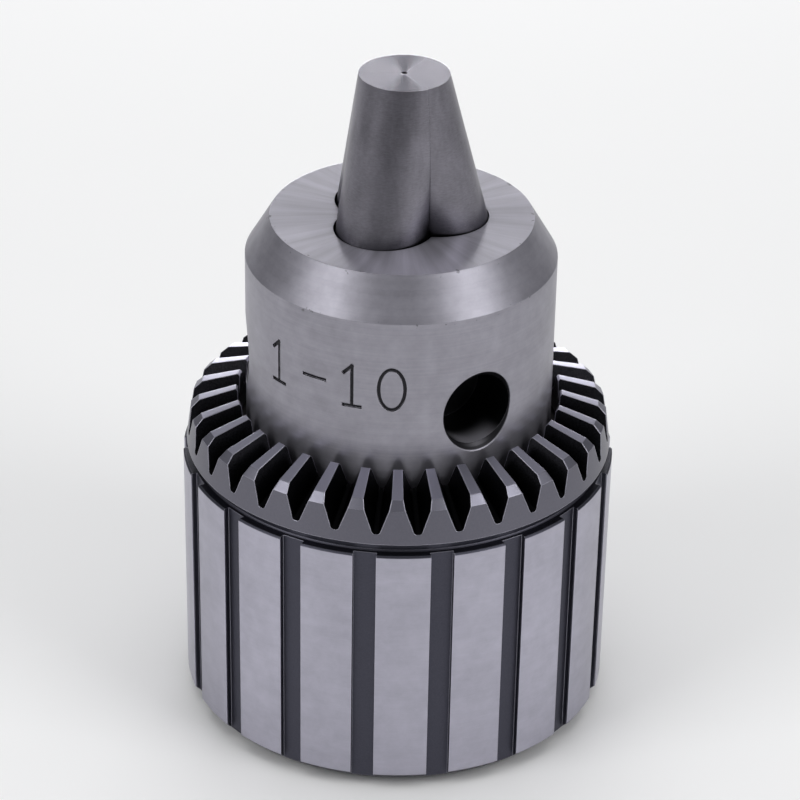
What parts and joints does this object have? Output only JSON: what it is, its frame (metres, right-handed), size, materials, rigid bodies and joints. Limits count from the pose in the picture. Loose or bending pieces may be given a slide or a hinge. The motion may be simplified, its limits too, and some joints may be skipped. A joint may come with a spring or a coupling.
{
  "type": "keyed three-jaw drill chuck",
  "caption": "Keyed drill chuck closed on its jaws: turned nose with key pilot holes, grooved sleeve with a crown gear ring, split nut and tapered arbor socket.",
  "frame": {"origin": "on the spindle axis, in the rear face of the body hub, which is the face around the arbor socket", "axes": "+Z along the spindle axis from the arbor socket to the jaw tips; +X towards jaw 1; right-handed, the closed pose is rest"},
  "size_m": [0.05, 0.05, 0.0784],
  "materials": {
    "ground_steel": "turned and ground",
    "sleeve_steel": "ground lands, black oxide in the grooves, neck and crown",
    "jaw_steel": "ground, hardened",
    "nut_steel": "machined, oiled"
  },
  "bodies": {
    "chuck_body": {"body": "ground_steel"},
    "sleeve_group": {"sleeve": "sleeve_steel", "nut_half_a": "nut_steel", "nut_half_b": "nut_steel"},
    "jaw_1_body": {"jaw_1": "jaw_steel"},
    "jaw_2_body": {"jaw_2": "jaw_steel"},
    "jaw_3_body": {"jaw_3": "jaw_steel"}
  },
  "joints": [
    {"name": "sleeve_turn", "type": "hinge", "parent": "chuck_body", "child": "sleeve_group", "pos_m": [0, 0, 0.03], "axis": [0, 0, 1], "range_deg": [0, 3129]},
    {"name": "jaw_1_slide", "type": "slide", "parent": "chuck_body", "child": "jaw_1_body", "axis": [0.2588, 0, -0.9659], "range_m": [0, 0.018]},
    {"name": "jaw_2_slide", "type": "slide", "parent": "chuck_body", "child": "jaw_2_body", "axis": [-0.1294, 0.2241, -0.9659], "range_m": [0, 0.018]},
    {"name": "jaw_3_slide", "type": "slide", "parent": "chuck_body", "child": "jaw_3_body", "axis": [-0.1294, -0.2241, -0.9659], "range_m": [0, 0.018]}
  ],
  "couplings": [
    {"joint": "jaw_1_slide", "follows": "sleeve_turn", "m_per_rad": 0.00032954},
    {"joint": "jaw_2_slide", "follows": "sleeve_turn", "m_per_rad": 0.00032954},
    {"joint": "jaw_3_slide", "follows": "sleeve_turn", "m_per_rad": 0.00032954}
  ]
}
